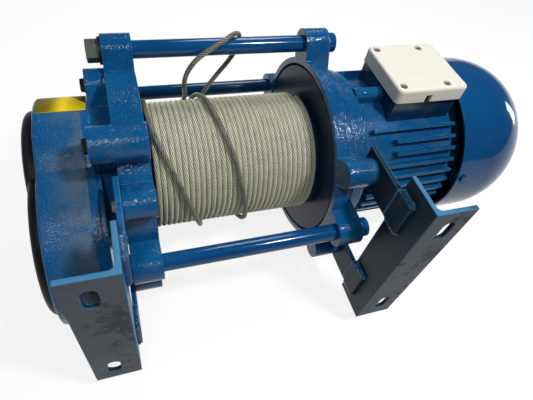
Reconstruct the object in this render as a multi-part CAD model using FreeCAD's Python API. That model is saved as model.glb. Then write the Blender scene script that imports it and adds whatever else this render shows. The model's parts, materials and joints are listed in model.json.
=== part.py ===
import FreeCAD, Part
import math
import os

os.makedirs("parts", exist_ok=True)
V = FreeCAD.Vector

# Electric winch, in millimetres. X runs along the drum towards the motor, Y from the foot plane
# to the drum, Z towards the terminal box. The origin is the centre of the foot slots.
# Every shape is drawn about the drum axis and moved to AXIS_Y when it is saved.
AXIS_Y = 212.0

# End plates, tie rods and lugs
LEFT_PLATE = (-138.0, -106.0)
RIGHT_PLATE = (101.0, 132.0)
PLATE_R = 124.0
PLATE_STEP_R = 114.0
PLATE_STEP_X = 119.0
PLATE_RECESS_R = 116.5
PLATE_WALL = 16.0
LUG_R = 18.0
LUG_CIRCLE_R = 142.0
ROD_ANGLES = {"top": 65.0, "back": 0.0, "front": 180.0, "bottom": -65.0}
STRAP_LUG_R = 16.0
GEARBOX_LUGS = ((122.0, 142.0), (66.0, 106.0), (-20.0, 125.0), (-96.0, 125.0))
ROD_R = 10.0
ROD_STUD_R = 7.0
ROD_HEAD_R = 12.0
ROD_HEAD_L = 12.0
ROD_STUD_OUT = 15.0
NUT_AF = 22.0
NUT_L = 13.0
WASHER_R = 15.0
WASHER_T = 3.0
FIT = 0.04

# Feet: angle irons, straps and their bolts
WEB_FACE = 143.5
ANGLE_LEG = 50.0
ANGLE_T = 5.0
ANGLE_HALF = 120.0
ANGLE_ROOT_R = 6.0
SLOT_W = 14.0
SLOT_L = 32.0
SLOT_X = 171.0
SLOT_Z = 86.0
STRAP_T = 5.5
STRAP_W = 44.0
STRAP_LUG_Y = -115.0
STRAP_LUG_Z = 76.0
STRAP_TOP_Y = -96.0
STRAP_END_GAP = 24.0
WELD = 5.0
STRAP_BOLT_R = 3.0
STRAP_BOLT_AF = 10.0
STRAP_BOLT_HEAD = 4.0
STRAP_BOLT_L = 25.0

# Drum, rope and bearings
DRUM_FLANGE_R = 113.4
DRUM_FLANGE_T = 10.0
DRUM_LEFT = -117.0
DRUM_RIGHT = 112.0
BARREL_R = 73.3
BARREL_BORE_R = 64.0
HUB_R = 25.0
HUB_BORE_R = 17.0
HUB_LEFT = -188.5
HUB_RIGHT = 136.0
HUB_CLEARANCE = 3.0
ROPE_D = 6.2
ROPE_FIRST_X = -102.5
ROPE_PITCH = 6.35
ROPE_TURNS = 32
DRUM_BEARING_R = 40.0
ROPE_CLAMP_R = 98.0
ROPE_CLAMP_ANGLES = (-50.0, -38.0)
ROPE_CLAMP_AF = 13.0
ROPE_CLAMP_HEAD = 5.5

# Gearbox: coaxial lobe, layshaft lobe and gear stages
GEARBOX_R = 91.0
LOBE_R = 99.0
LAY_DISTANCE = 75.0
LAY_ANGLE = 201.2
CASE_WALL = 8.0
CASE_LEFT = -216.0
CASE_END_WALL = 10.0
GASKET_T = 1.0
BACK_PLATE = (-168.0, -160.0)
NECK_R = 88.0
SEAL_R = 36.0
SEAL = (-152.0, -142.0)
CAP_R = 78.0
CAP_T = 13.0
CAP_LOBE_R = 87.0
CAP_LOBE_T = 10.0
CAP_EDGE_R = 7.0
CAP_SEAT_T = 4.0
CAP_SCREW_INSET = 16.0
CAP_SCREW_R = 5.0
CAP_SCREW_HEAD = 5.0
CAP_SOCKET_AF = 5.0
CAP_SOCKET_DEPTH = 3.0
CAP_SINK_R = 5.6
CAP_SHANK_R = 2.5
CAP_SHANK_L = 12.0
CAP_SCREW_ANGLES = (-40.0, 20.0, 80.0)
LOBE_SCREW_ANGLES = (140.0, 201.0, 262.0)
CASE_EDGE_R = 2.0
BACK_STEP_T = 5.0
BACK_STEP_IN = 3.0
GEARBOX_BOLT_R = 4.0
GEARBOX_BOLT_AF = 13.0
GEARBOX_BOLT_HEAD = 5.5
GEARBOX_BOLT_IN = 15.0
PRESSURE_ANGLE = math.radians(20.0)
BACKLASH = 0.2
FLANK_STEPS = 4
FAST_MODULE = 1.5
FAST_PINION_TEETH = 13
FAST_GEAR_TEETH = 87
SLOW_MODULE = 2.0
SLOW_PINION_TEETH = 12
SLOW_GEAR_TEETH = 63
PINION_ADDENDUM = 1.0
GEAR_ADDENDUM = 0.75
PINION_DEDENDUM = 1.0
GEAR_DEDENDUM = 1.25
FAST_PINION = (-205.0, -191.0)
FAST_GEAR = (-204.0, -192.0)
SLOW_GEAR = (-187.0, -171.0)
SLOW_PINION = (-188.5, -170.0)
LAY_SHAFT = (-216.5, -157.5)
LAY_SHAFT_R = 7.5
LAY_BEARING_R = 17.5
LAY_BEARING_W = 11.0
LAY_BOSS_R = 24.0
END_BEARING_R = 15.0
END_BEARING_W = 9.0

# Motor
SHIELD = (132.0, 152.0)
SHIELD_R = 105.0
SHIELD_WALL = 8.0
FRAME = (152.0, 288.0)
FRAME_R = 92.0
STATOR_R = 80.0
STATOR = (186.0, 262.0)
AIR_GAP_R = 45.5
COIL_END_R = (50.5, 74.0)
COIL_END_L = 15.0
ROTOR_R = 45.0
FIN_R = 102.0
FIN_T = 4.6
FIN = (166.0, 287.0)
FIN_SHORT_LEFT = 198.0
FIN_SHORT_ANGLES = (135.0, 144.0, 45.0, 36.0)
FIN_STEP = 9.0
FIN_FREE_HALF = 31.0
FIN_ROOT_R = 84.0
LID_ANGLE = 90.0
BOSS = (152.0, 190.0)
BOSS_R = 8.0
BOSS_CIRCLE_R = 101.0
BOSS_ANGLE = 96.0
REAR_SHIELD = (288.0, 304.0)
EAR = (292.0, 309.0)
EAR_R = (86.0, 108.5)
EAR_W = 16.0
COVER_SCREW_ANGLES = (77.0, 167.0, 257.0, 347.0)
COVER_SCREW_X = 302.0
COVER_SCREW_R = 3.0
COVER_SCREW_HEAD_R = 5.5
COVER_SCREW_HEAD = 3.2
COVER_SCREW_LIFT = 0.3
COVER_SCREW_L = 12.0
MOTOR_BEARING_R = 21.0
MOTOR_BEARING_W = 12.0
SHAFT_R = 10.0
SHAFT_CLEARANCE = 1.0
ROTOR_SHAFT_R = 12.0
SHAFT_RIGHT = 364.0
PINION_SHAFT_R = 6.0
SHAFT_TIP_R = 5.0
SHAFT_TIP = (-214.0, -206.0)
BRAKE_R = 60.0
BRAKE_BORE_R = 14.0
BRAKE_DISC_R = 56.0
BRAKE_COIL = (304.0, 328.0)
BRAKE_PLATE = (328.0, 333.0)
BRAKE_DISC = (333.6, 339.0)
FAN = (343.0, 360.0)
FAN_R = 82.0
FAN_HUB_R = 20.0
FAN_BLADE_ROOT_R = 18.0
FAN_BLADES = 7
FAN_BLADE_T = 3.0
COVER_X = 292.0
COVER_R = 113.0
COVER_STRAIGHT = 342.0
COVER_END = 449.0
COVER_WALL = 2.5
DOME_STEPS = 8

# Terminal box on top of the motor
BOX = (192.0, 283.0)
BOX_HALF = 44.0
BOX_TOP = 111.0
BOX_FLOOR = 96.0
BOX_WALL = 4.0
BOX_SADDLE = 4.0
BOX_POST_R = 4.5
LID = (189.0, 289.0)
LID_HALF = 47.0
LID_SKIRT = 1.0
LID_TOP = 131.0
LID_WALL = 4.0
LID_EDGE = 3.5
LID_CORNER_R = 7.0
LID_POST_R = 6.5
LID_SCREW_X = (198.0, 261.0)
LID_SCREW_Y = 37.0
LID_POCKET_R = 4.8
LID_POCKET_DEPTH = 4.0
LID_SCREW_R = 2.0
LID_SCREW_IN = 10.0
LID_HEAD_R = 3.5
LID_HEAD = 2.4
DRIVER_SLOT_W = 1.0
DRIVER_SLOT_DEPTH = 1.0
NOTCH_X = 234.0
NOTCH_W = 8.0
NOTCH_H = 10.0
BLOCK_HALF = (30.0, 16.0)
BLOCK_H = 9.0
STUD_PITCH = (20.0, 16.0)
STUD_R = 2.0
STUD_H = 20.0

# Free rope end laid over the winding and the top rod: angle about the drum and X for the wrapped
# stretch, then X, Y, Z about the drum axis for the bight over the rod.
TAIL_LIFT = 0.8
TAIL_STEP = 30.0
TAIL_FIRST_ANGLE = 70.0
TAIL_WRAP_X = (-100, -99.5, -86, -69, -55, -45, -40, -37.5, -37, -37, -36.5, -33.5, -26.5, -21.3, -10,
               -1.5, 7, 11, 9, 2, -8, -18, -26)
TAIL_BIGHT = ((-16.0, 82.5, 43.0), (-2.0, 80.2, 70.0), (14.0, 76.5, 97.0), (23.5, 74.0, 119.5),
              (23.0, 73.7, 136.6), (11.0, 60.0, 145.0), (-9.0, 47.3, 140.0), (-25.0, 44.5, 132.0),
              (-38.0, 43.0, 121.5), (-46.8, 42.3, 107.0), (-49.8, 43.5, 91.5), (-47.8, 49.0, 76.5),
              (-45.2, 58.5, 62.0), (-44.0, 70.5, 46.5), (-44.0, 81.0, 25.5), (-45.0, 85.0, 0.0),
              (-45.5, 86.5, -20.0))
TAIL_ARC_SHARE = 0.45
SLEEVE_R = 4.4
SLEEVE_L = 20.0

PAST = 1.0


def save(node, shape):
    moved = shape.copy()
    moved.translate(V(0, AXIS_Y, 0))
    moved.exportStep(f"parts/{node}.step")


def group(shapes):
    return Part.makeCompound(shapes)


def polar(radius, degrees):
    turn = math.radians(degrees)
    return radius * math.cos(turn), radius * math.sin(turn)


def rod_along_x(radius, left, right, y=0.0, z=0.0):
    return Part.makeCylinder(radius, right - left, V(left, y, z), V(1, 0, 0))


def tube_along_x(inner, outer, left, right, y=0.0, z=0.0):
    hole = rod_along_x(inner, left - PAST, right + PAST, y, z)
    return rod_along_x(outer, left, right, y, z).cut(hole)


def block(x_span, y_span, z_span):
    size = [span[1] - span[0] for span in (x_span, y_span, z_span)]
    return Part.makeBox(*size, V(x_span[0], y_span[0], z_span[0]))


def hexagon(across_flats, left, right, y, z):
    corner = across_flats / math.sqrt(3.0)
    points = [polar(corner, 60.0 * k) for k in range(7)]
    wire = Part.makePolygon([V(left, y + p[0], z + p[1]) for p in points])
    return Part.Face(wire).extrude(V(right - left, 0, 0))


def turned(profile):
    points = [V(x, r, 0) for x, r in profile]
    wire = Part.makePolygon(points + points[:1])
    return Part.Face(wire).revolve(V(0, 0, 0), V(1, 0, 0), 360)


def spoke(inner, outer, degrees, span, width):
    bar = block(span, (inner, outer), (-width / 2, width / 2))
    bar.rotate(V(0, 0, 0), V(1, 0, 0), degrees)
    return bar


def lug(degrees, left, right, circle=LUG_CIRCLE_R, radius=LUG_R):
    y, z = polar(circle, degrees)
    return spoke(0.0, circle, degrees, (left, right), 2 * radius).fuse(rod_along_x(radius, left, right, y, z))


def mirrored(shape):
    return shape.mirror(V(0, 0, 0), V(1, 0, 0))


def bolt(radius, across_flats, head, seat, length, y, z, side):
    # side +1 puts the head to the right of its seat, -1 to the left
    low, high = sorted((seat, seat + side * head))
    inner, outer = sorted((seat, seat - side * length))
    return hexagon(across_flats, low, high, y, z).fuse(rod_along_x(radius, inner, outer, y, z))


strap_lug_r = math.hypot(STRAP_LUG_Y, STRAP_LUG_Z)
strap_lug_angle = math.degrees(math.atan2(STRAP_LUG_Z, STRAP_LUG_Y))
lay_y, lay_z = polar(LAY_DISTANCE, LAY_ANGLE)
strap_seat = WEB_FACE - STRAP_T
cap_screw_seat = CASE_LEFT - GASKET_T - CAP_SEAT_T


def end_plate(span, wall_side, bolt_lugs, lug_out):
    left, right = span
    plate = rod_along_x(PLATE_R, left, right)
    for degrees in ROD_ANGLES.values():
        plate = plate.fuse(lug(degrees, left, right))
    for degrees, circle in bolt_lugs:
        plate = plate.fuse(lug(degrees, left, right, circle))
    outer = (left - lug_out, right) if wall_side < 0 else (left, right + lug_out)
    for degrees in (strap_lug_angle, -strap_lug_angle):
        y, z = polar(strap_lug_r, degrees)
        plate = plate.fuse(lug(degrees, left, right, strap_lug_r, STRAP_LUG_R))
        plate = plate.fuse(rod_along_x(STRAP_LUG_R, outer[0], outer[1], y, z))
    wall = (left, left + PLATE_WALL) if wall_side < 0 else (right - PLATE_WALL, right)
    recess = (wall[1], right + PAST) if wall_side < 0 else (left - PAST, wall[0])
    plate = plate.cut(rod_along_x(PLATE_RECESS_R, *recess))
    plate = plate.cut(rod_along_x(DRUM_BEARING_R + FIT, left - PAST, right + PAST))
    hole_r = ROD_STUD_R + FIT if wall_side < 0 else ROD_R + FIT
    for degrees in ROD_ANGLES.values():
        y, z = polar(LUG_CIRCLE_R, degrees)
        plate = plate.cut(rod_along_x(hole_r, left - PAST, right + PAST, y, z))
    for degrees in (strap_lug_angle, -strap_lug_angle):
        y, z = polar(strap_lug_r, degrees)
        seat = -strap_seat if wall_side < 0 else strap_seat
        depth = STRAP_BOLT_L - STRAP_T + PAST
        hole = (seat - PAST, seat + depth) if wall_side < 0 else (seat - depth, seat + PAST)
        plate = plate.cut(rod_along_x(STRAP_BOLT_R + FIT, hole[0], hole[1], y, z))
    return plate


def left_plate():
    plate = end_plate(LEFT_PLATE, -1, GEARBOX_LUGS, 0.0)
    for degrees, circle in GEARBOX_LUGS:
        y, z = polar(circle, degrees)
        hole = rod_along_x(GEARBOX_BOLT_R + FIT, LEFT_PLATE[0] - PAST, LEFT_PLATE[0] + GEARBOX_BOLT_IN, y, z)
        plate = plate.cut(hole)
    return plate


def right_plate():
    plate = end_plate(RIGHT_PLATE, 1, (), strap_seat - RIGHT_PLATE[1])
    step = tube_along_x(PLATE_STEP_R, PLATE_R + PAST, PLATE_STEP_X, RIGHT_PLATE[1] + PAST)
    span = (PLATE_STEP_X, RIGHT_PLATE[1] + PAST)
    keep = [lug(degrees, *span) for degrees in ROD_ANGLES.values()]
    keep += [lug(side * strap_lug_angle, *span, strap_lug_r, STRAP_LUG_R) for side in (1, -1)]
    return plate.cut(step.cut(keep))


def tie_rod(degrees):
    y, z = polar(LUG_CIRCLE_R, degrees)
    rod = rod_along_x(ROD_R, LEFT_PLATE[1], RIGHT_PLATE[1], y, z)
    rod = rod.fuse(rod_along_x(ROD_HEAD_R, RIGHT_PLATE[1], RIGHT_PLATE[1] + ROD_HEAD_L, y, z))
    return rod.fuse(rod_along_x(ROD_STUD_R, LEFT_PLATE[0] - ROD_STUD_OUT, LEFT_PLATE[1], y, z))


def rod_washer(degrees):
    y, z = polar(LUG_CIRCLE_R, degrees)
    return tube_along_x(ROD_STUD_R + FIT, WASHER_R, LEFT_PLATE[0] - WASHER_T, LEFT_PLATE[0], y, z)


def rod_nut(degrees):
    y, z = polar(LUG_CIRCLE_R, degrees)
    seat = LEFT_PLATE[0] - WASHER_T
    nut = hexagon(NUT_AF, seat - NUT_L, seat, y, z)
    return nut.cut(rod_along_x(ROD_STUD_R + FIT, seat - NUT_L - PAST, seat + PAST, y, z))


def slot_along_z(x, z):
    half = (SLOT_L - SLOT_W) / 2
    depth = (-AXIS_Y - PAST, -AXIS_Y + ANGLE_T + PAST)
    slot = block((x - SLOT_W / 2, x + SLOT_W / 2), depth, (z - half, z + half))
    for end in (z - half, z + half):
        slot = slot.fuse(Part.makeCylinder(SLOT_W / 2, depth[1] - depth[0], V(x, depth[0], end), V(0, 1, 0)))
    return slot


def foot_angle():
    face = -AXIS_Y
    outline = [(WEB_FACE, face), (WEB_FACE + ANGLE_LEG, face), (WEB_FACE + ANGLE_LEG, face + ANGLE_T),
               (WEB_FACE + ANGLE_T, face + ANGLE_T), (WEB_FACE + ANGLE_T, face + ANGLE_LEG),
               (WEB_FACE, face + ANGLE_LEG)]
    points = [V(x, y, -ANGLE_HALF) for x, y in outline]
    angle = Part.Face(Part.makePolygon(points + points[:1])).extrude(V(0, 0, 2 * ANGLE_HALF))
    root = V(WEB_FACE + ANGLE_T, face + ANGLE_T, 0)
    inner = [e for e in angle.Edges if e.BoundBox.ZLength > ANGLE_HALF
             and (V(e.CenterOfMass.x, e.CenterOfMass.y, 0) - root).Length < PAST]
    angle = angle.makeFillet(ANGLE_ROOT_R, inner)
    for z in (SLOT_Z, -SLOT_Z):
        angle = angle.cut(slot_along_z(SLOT_X, z))
    return angle


def foot_strap(side):
    z = side * STRAP_LUG_Z
    strap = block((strap_seat, WEB_FACE), (-AXIS_Y + STRAP_END_GAP, STRAP_TOP_Y),
                  (z - STRAP_W / 2, z + STRAP_W / 2))
    hole = rod_along_x(STRAP_BOLT_R + FIT, strap_seat - PAST, WEB_FACE + PAST, STRAP_LUG_Y, z)
    return strap.cut(hole)


def weld_bead(edge_z, outward):
    y0 = -AXIS_Y + STRAP_END_GAP
    length = ANGLE_LEG - STRAP_END_GAP
    corners = [V(WEB_FACE, y0, edge_z), V(WEB_FACE - WELD, y0, edge_z),
               V(WEB_FACE, y0, edge_z + outward * WELD)]
    return Part.Face(Part.makePolygon(corners + corners[:1])).extrude(V(0, length, 0))


def foot_welds():
    beads = []
    for side in (1, -1):
        for edge in (1, -1):
            beads.append(weld_bead(side * STRAP_LUG_Z + edge * STRAP_W / 2, edge))
    return group(beads)


def strap_bolts(side):
    bolts = []
    for z in (STRAP_LUG_Z, -STRAP_LUG_Z):
        bolts.append(bolt(STRAP_BOLT_R, STRAP_BOLT_AF, STRAP_BOLT_HEAD, side * WEB_FACE, STRAP_BOLT_L,
                          STRAP_LUG_Y, z, side))
    return bolts


def drum():
    wall_left = DRUM_LEFT + DRUM_FLANGE_T
    wall_right = DRUM_RIGHT - DRUM_FLANGE_T
    return turned([
        (HUB_LEFT, HUB_BORE_R), (HUB_LEFT, HUB_R), (DRUM_LEFT, HUB_R), (DRUM_LEFT, DRUM_FLANGE_R),
        (wall_left, DRUM_FLANGE_R), (wall_left, BARREL_R), (wall_right, BARREL_R),
        (wall_right, DRUM_FLANGE_R), (DRUM_RIGHT, DRUM_FLANGE_R), (DRUM_RIGHT, HUB_R),
        (HUB_RIGHT, HUB_R), (HUB_RIGHT, HUB_BORE_R), (wall_right, HUB_BORE_R),
        (wall_right, BARREL_BORE_R), (wall_left, BARREL_BORE_R), (wall_left, HUB_BORE_R)])


def rope_winding():
    # each turn is a half-round ridge on a sleeve that fills the turns' lower halves
    radius = ROPE_D / 2
    centre = BARREL_R + FIT + radius
    first = ROPE_FIRST_X - ROPE_PITCH / 2
    last = first + ROPE_TURNS * ROPE_PITCH
    edges = [Part.LineSegment(V(last, centre, 0), V(last, BARREL_R + FIT, 0)),
             Part.LineSegment(V(last, BARREL_R + FIT, 0), V(first, BARREL_R + FIT, 0)),
             Part.LineSegment(V(first, BARREL_R + FIT, 0), V(first, centre, 0))]
    for turn in range(ROPE_TURNS):
        low = first + turn * ROPE_PITCH
        crest = V(low + ROPE_PITCH / 2, centre + radius, 0)
        edges.append(Part.Arc(V(low, centre, 0), crest, V(low + ROPE_PITCH, centre, 0)))
    wire = Part.Wire(Part.__sortEdges__([edge.toShape() for edge in edges]))
    return Part.Face(wire).revolve(V(0, 0, 0), V(1, 0, 0), 360)


def rope_clamp_bolts():
    seat = DRUM_RIGHT - DRUM_FLANGE_T
    bolts = []
    for degrees in ROPE_CLAMP_ANGLES:
        y, z = polar(ROPE_CLAMP_R, degrees)
        bolts.append(hexagon(ROPE_CLAMP_AF, seat - ROPE_CLAMP_HEAD, seat, y, z))
    return group(bolts)


def rounded_rod(radius, edge_r, left, right, y=0.0, z=0.0):
    rod = rod_along_x(radius, left, right, y, z)
    rim = [edge for edge in rod.Edges if edge.BoundBox.XMax < left + PAST]
    return rod.makeFillet(edge_r, rim)


def lobed(coaxial_r, lobe_r, left, right):
    return rod_along_x(coaxial_r, left, right).fuse(rod_along_x(lobe_r, left, right, lay_y, lay_z))


def gearbox_base():
    left, right = BACK_PLATE
    base = lobed(GEARBOX_R, LOBE_R, left, right)
    base = base.fuse(lobed(GEARBOX_R - BACK_STEP_IN, LOBE_R - BACK_STEP_IN, right, right + BACK_STEP_T))
    base = base.fuse(rod_along_x(NECK_R, right, LEFT_PLATE[0]))
    base = base.fuse(rod_along_x(LAY_BOSS_R, right, right + PLATE_WALL / 2, lay_y, lay_z))
    for degrees, circle in GEARBOX_LUGS:
        base = base.fuse(lug(degrees, right, LEFT_PLATE[0], circle))
    base = base.cut(rod_along_x(SEAL_R + FIT, left - PAST, LEFT_PLATE[0] + PAST))
    base = base.cut(rod_along_x(LAY_BEARING_R + FIT, left - PAST, left + LAY_BEARING_W, lay_y, lay_z))
    for degrees, circle in GEARBOX_LUGS:
        y, z = polar(circle, degrees)
        base = base.cut(rod_along_x(GEARBOX_BOLT_R + FIT, right - PAST, LEFT_PLATE[0] + PAST, y, z))
    return base.removeSplitter()


def case_gasket():
    right = BACK_PLATE[0]
    inner = lobed(GEARBOX_R - CASE_WALL, LOBE_R - CASE_WALL, right - GASKET_T - PAST, right + PAST)
    return lobed(GEARBOX_R, LOBE_R, right - GASKET_T, right).cut(inner)


def gearbox_case():
    right = BACK_PLATE[0] - GASKET_T
    cavity_left = CASE_LEFT + CASE_END_WALL
    case = rounded_rod(GEARBOX_R, CASE_EDGE_R, CASE_LEFT, right)
    case = case.fuse(rounded_rod(LOBE_R, CASE_EDGE_R, CASE_LEFT, right, lay_y, lay_z))
    case = case.cut(lobed(GEARBOX_R - CASE_WALL, LOBE_R - CASE_WALL, cavity_left, right + PAST))
    case = case.cut(rod_along_x(LAY_BEARING_R + FIT, CASE_LEFT - PAST, cavity_left + PAST, lay_y, lay_z))
    for y, z in cap_screw_places():
        hole_end = cap_screw_seat + CAP_SHANK_L + FIT
        case = case.cut(rod_along_x(CAP_SHANK_R + FIT, CASE_LEFT - PAST, hole_end, y, z))
    return case.cut(rod_along_x(END_BEARING_R + FIT, CASE_LEFT - PAST, cavity_left + PAST))


def cap_gasket():
    left = CASE_LEFT - GASKET_T
    inner = lobed(CAP_R - CASE_WALL, CAP_LOBE_R - CASE_WALL, left - PAST, CASE_LEFT + PAST)
    return lobed(CAP_R, CAP_LOBE_R, left, CASE_LEFT).cut(inner)


def gearbox_cap():
    right = CASE_LEFT - GASKET_T
    left = right - CAP_T
    cap = rounded_rod(CAP_R, CAP_EDGE_R, left, right)
    cap = cap.fuse(rounded_rod(CAP_LOBE_R, CAP_EDGE_R, right - CAP_LOBE_T, right, lay_y, lay_z))
    for y, z in cap_screw_places():
        cap = cap.cut(rod_along_x(CAP_SINK_R, left - PAST, cap_screw_seat, y, z))
        cap = cap.cut(rod_along_x(CAP_SHANK_R + FIT, left, right + PAST, y, z))
    return cap


def cap_screw_places():
    places = [polar(CAP_R - CAP_SCREW_INSET, degrees) for degrees in CAP_SCREW_ANGLES]
    for degrees in LOBE_SCREW_ANGLES:
        y, z = polar(CAP_LOBE_R - CAP_SCREW_INSET, degrees)
        places.append((lay_y + y, lay_z + z))
    return places


def cap_screws():
    top = cap_screw_seat - CAP_SCREW_HEAD
    screws = []
    for y, z in cap_screw_places():
        socket = hexagon(CAP_SOCKET_AF, top - PAST, top + CAP_SOCKET_DEPTH, y, z)
        head = rod_along_x(CAP_SCREW_R, top, cap_screw_seat, y, z).cut(socket)
        screws.append(head.fuse(rod_along_x(CAP_SHANK_R, cap_screw_seat, cap_screw_seat + CAP_SHANK_L, y, z)))
    return group(screws)


def gearbox_bolts():
    seat = BACK_PLATE[1]
    length = LEFT_PLATE[0] - seat + GEARBOX_BOLT_IN - PAST
    bolts = []
    for degrees, circle in GEARBOX_LUGS:
        y, z = polar(circle, degrees)
        bolts.append(bolt(GEARBOX_BOLT_R, GEARBOX_BOLT_AF, GEARBOX_BOLT_HEAD, seat, length, y, z, -1))
    return group(bolts)


def involute(base_r, radius):
    slope = math.sqrt(max((radius / base_r) ** 2 - 1.0, 0.0))
    return slope - math.atan(slope)


def gear(teeth, module, addendum, dedendum, span, bore, y, z, phase):
    pitch_r = teeth * module / 2
    base_r = pitch_r * math.cos(PRESSURE_ANGLE)
    root_r = pitch_r - dedendum * module
    tip_r = pitch_r + addendum * module
    start = max(base_r, root_r)
    half = (math.pi * module / 2 - BACKLASH / 2) / (2 * pitch_r) + involute(base_r, pitch_r)
    radii = [start + (tip_r - start) * k / FLANK_STEPS for k in range(FLANK_STEPS + 1)]
    flank = [(r, half - involute(base_r, r)) for r in radii]
    if root_r < start:
        flank = [(root_r, half)] + flank
    tooth = [(r, -turn) for r, turn in flank] + [(r, turn) for r, turn in reversed(flank)]
    points = []
    for k in range(teeth):
        middle = math.radians(phase) + 2 * math.pi * k / teeth
        for r, turn in tooth:
            points.append(V(span[0], y + r * math.cos(middle + turn), z + r * math.sin(middle + turn)))
    blank = Part.Face(Part.makePolygon(points + points[:1])).extrude(V(span[1] - span[0], 0, 0))
    return blank.cut(rod_along_x(bore, span[0] - PAST, span[1] + PAST, y, z))


def facing_gap(teeth):
    # a tooth gap of the layshaft gear faces the drum axis
    return LAY_ANGLE + 180.0 + 180.0 / teeth


def layshaft_bearing(left):
    return tube_along_x(LAY_SHAFT_R + FIT, LAY_BEARING_R, left, left + LAY_BEARING_W, lay_y, lay_z)


def motor_bearing(left):
    return tube_along_x(SHAFT_R + FIT, MOTOR_BEARING_R, left, left + MOTOR_BEARING_W)


def motor_shaft():
    rotor_left = STATOR[0] - LAY_BEARING_W
    rotor_right = STATOR[1] + LAY_BEARING_W
    return turned([
        (SHAFT_TIP[0], 0), (SHAFT_TIP[0], SHAFT_TIP_R), (SHAFT_TIP[1], SHAFT_TIP_R),
        (SHAFT_TIP[1], PINION_SHAFT_R), (FAST_PINION[1], PINION_SHAFT_R), (FAST_PINION[1], SHAFT_R),
        (rotor_left, SHAFT_R), (rotor_left, ROTOR_SHAFT_R), (rotor_right, ROTOR_SHAFT_R),
        (rotor_right, SHAFT_R), (SHAFT_RIGHT, SHAFT_R), (SHAFT_RIGHT, 0)])


def radial_rod(radius, inner, outer, degrees):
    rod = Part.makeCylinder(radius, outer - inner, V(COVER_SCREW_X, inner, 0), V(0, 1, 0))
    rod.rotate(V(0, 0, 0), V(1, 0, 0), degrees)
    return rod


def motor_front_shield():
    left, right = SHIELD
    shield = rod_along_x(SHIELD_R, left, right)
    shield = shield.cut(rod_along_x(HUB_R + HUB_CLEARANCE, left - PAST, left + SHIELD_WALL))
    shield = shield.cut(rod_along_x(SHAFT_R + SHAFT_CLEARANCE, left, right))
    return shield.cut(rod_along_x(MOTOR_BEARING_R + FIT, left + SHIELD_WALL, right + PAST))


def motor_frame():
    frame = tube_along_x(STATOR_R + FIT, FRAME_R, *FRAME)
    fins = []
    for k in range(int(360.0 / FIN_STEP)):
        degrees = FIN_STEP * k
        if abs(degrees - LID_ANGLE) > FIN_FREE_HALF:
            left = FIN_SHORT_LEFT if degrees in FIN_SHORT_ANGLES else FIN[0]
            fins.append(spoke(FIN_ROOT_R, FIN_R, degrees, (left, FIN[1]), FIN_T))
    y, z = polar(BOSS_CIRCLE_R, BOSS_ANGLE)
    rib = spoke(FIN_ROOT_R, BOSS_CIRCLE_R, BOSS_ANGLE, BOSS, 2 * BOSS_R)
    return frame.fuse(fins + [rib, rod_along_x(BOSS_R, *BOSS, y, z)])


def motor_rear_shield():
    left, right = REAR_SHIELD
    shield = rod_along_x(FRAME_R, left, right)
    for degrees in COVER_SCREW_ANGLES:
        shield = shield.fuse(spoke(EAR_R[0], EAR_R[1], degrees, EAR, EAR_W))
        shield = shield.cut(radial_rod(COVER_SCREW_R + FIT, COVER_R - COVER_SCREW_L - PAST, COVER_R, degrees))
    shield = shield.cut(rod_along_x(SHAFT_R + SHAFT_CLEARANCE, left - PAST, right + PAST))
    return shield.cut(rod_along_x(MOTOR_BEARING_R + FIT, left - PAST, left + MOTOR_BEARING_W))


def dome(radius, straight, length):
    # cylinder from the rim, closed by a quarter ellipse turned about X
    turns = [math.pi / 2 * k / DOME_STEPS for k in range(DOME_STEPS + 1)]
    curve = Part.BSplineCurve()
    curve.interpolate(Points=[V(straight + length * math.sin(t), radius * math.cos(t), 0) for t in turns],
                      InitialTangent=V(1, 0, 0), FinalTangent=V(0, -1, 0))
    tip = V(straight + length, 0, 0)
    rim = V(COVER_X, radius, 0)
    rim_middle = V(COVER_X, 0, 0)
    edges = [curve.toShape(), Part.makeLine(tip, rim_middle), Part.makeLine(rim_middle, rim),
             Part.makeLine(rim, V(straight, radius, 0))]
    wire = Part.Wire(Part.__sortEdges__(edges))
    return Part.Face(wire).revolve(V(0, 0, 0), V(1, 0, 0), 360)


def fan_cover():
    outer = dome(COVER_R, COVER_STRAIGHT, COVER_END - COVER_STRAIGHT)
    inner = dome(COVER_R - COVER_WALL, COVER_STRAIGHT, COVER_END - COVER_STRAIGHT - COVER_WALL)
    cover = outer.cut(inner)
    for degrees in COVER_SCREW_ANGLES:
        cover = cover.cut(radial_rod(COVER_SCREW_R + FIT, COVER_R - COVER_SCREW_L, COVER_R + PAST, degrees))
    return cover


def cover_screws():
    screws = []
    seat = COVER_R + COVER_SCREW_LIFT
    for degrees in COVER_SCREW_ANGLES:
        head = radial_rod(COVER_SCREW_HEAD_R, seat, seat + COVER_SCREW_HEAD, degrees)
        screws.append(head.fuse(radial_rod(COVER_SCREW_R, COVER_R - COVER_SCREW_L, seat + PAST, degrees)))
    return group(screws)


def cooling_fan():
    hub = rod_along_x(FAN_HUB_R, *FAN)
    for k in range(FAN_BLADES):
        hub = hub.fuse(spoke(FAN_BLADE_ROOT_R, FAN_R, 360.0 * k / FAN_BLADES, FAN, FAN_BLADE_T))
    return hub.cut(rod_along_x(SHAFT_R + FIT, FAN[0] - PAST, FAN[1] + PAST))


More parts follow.
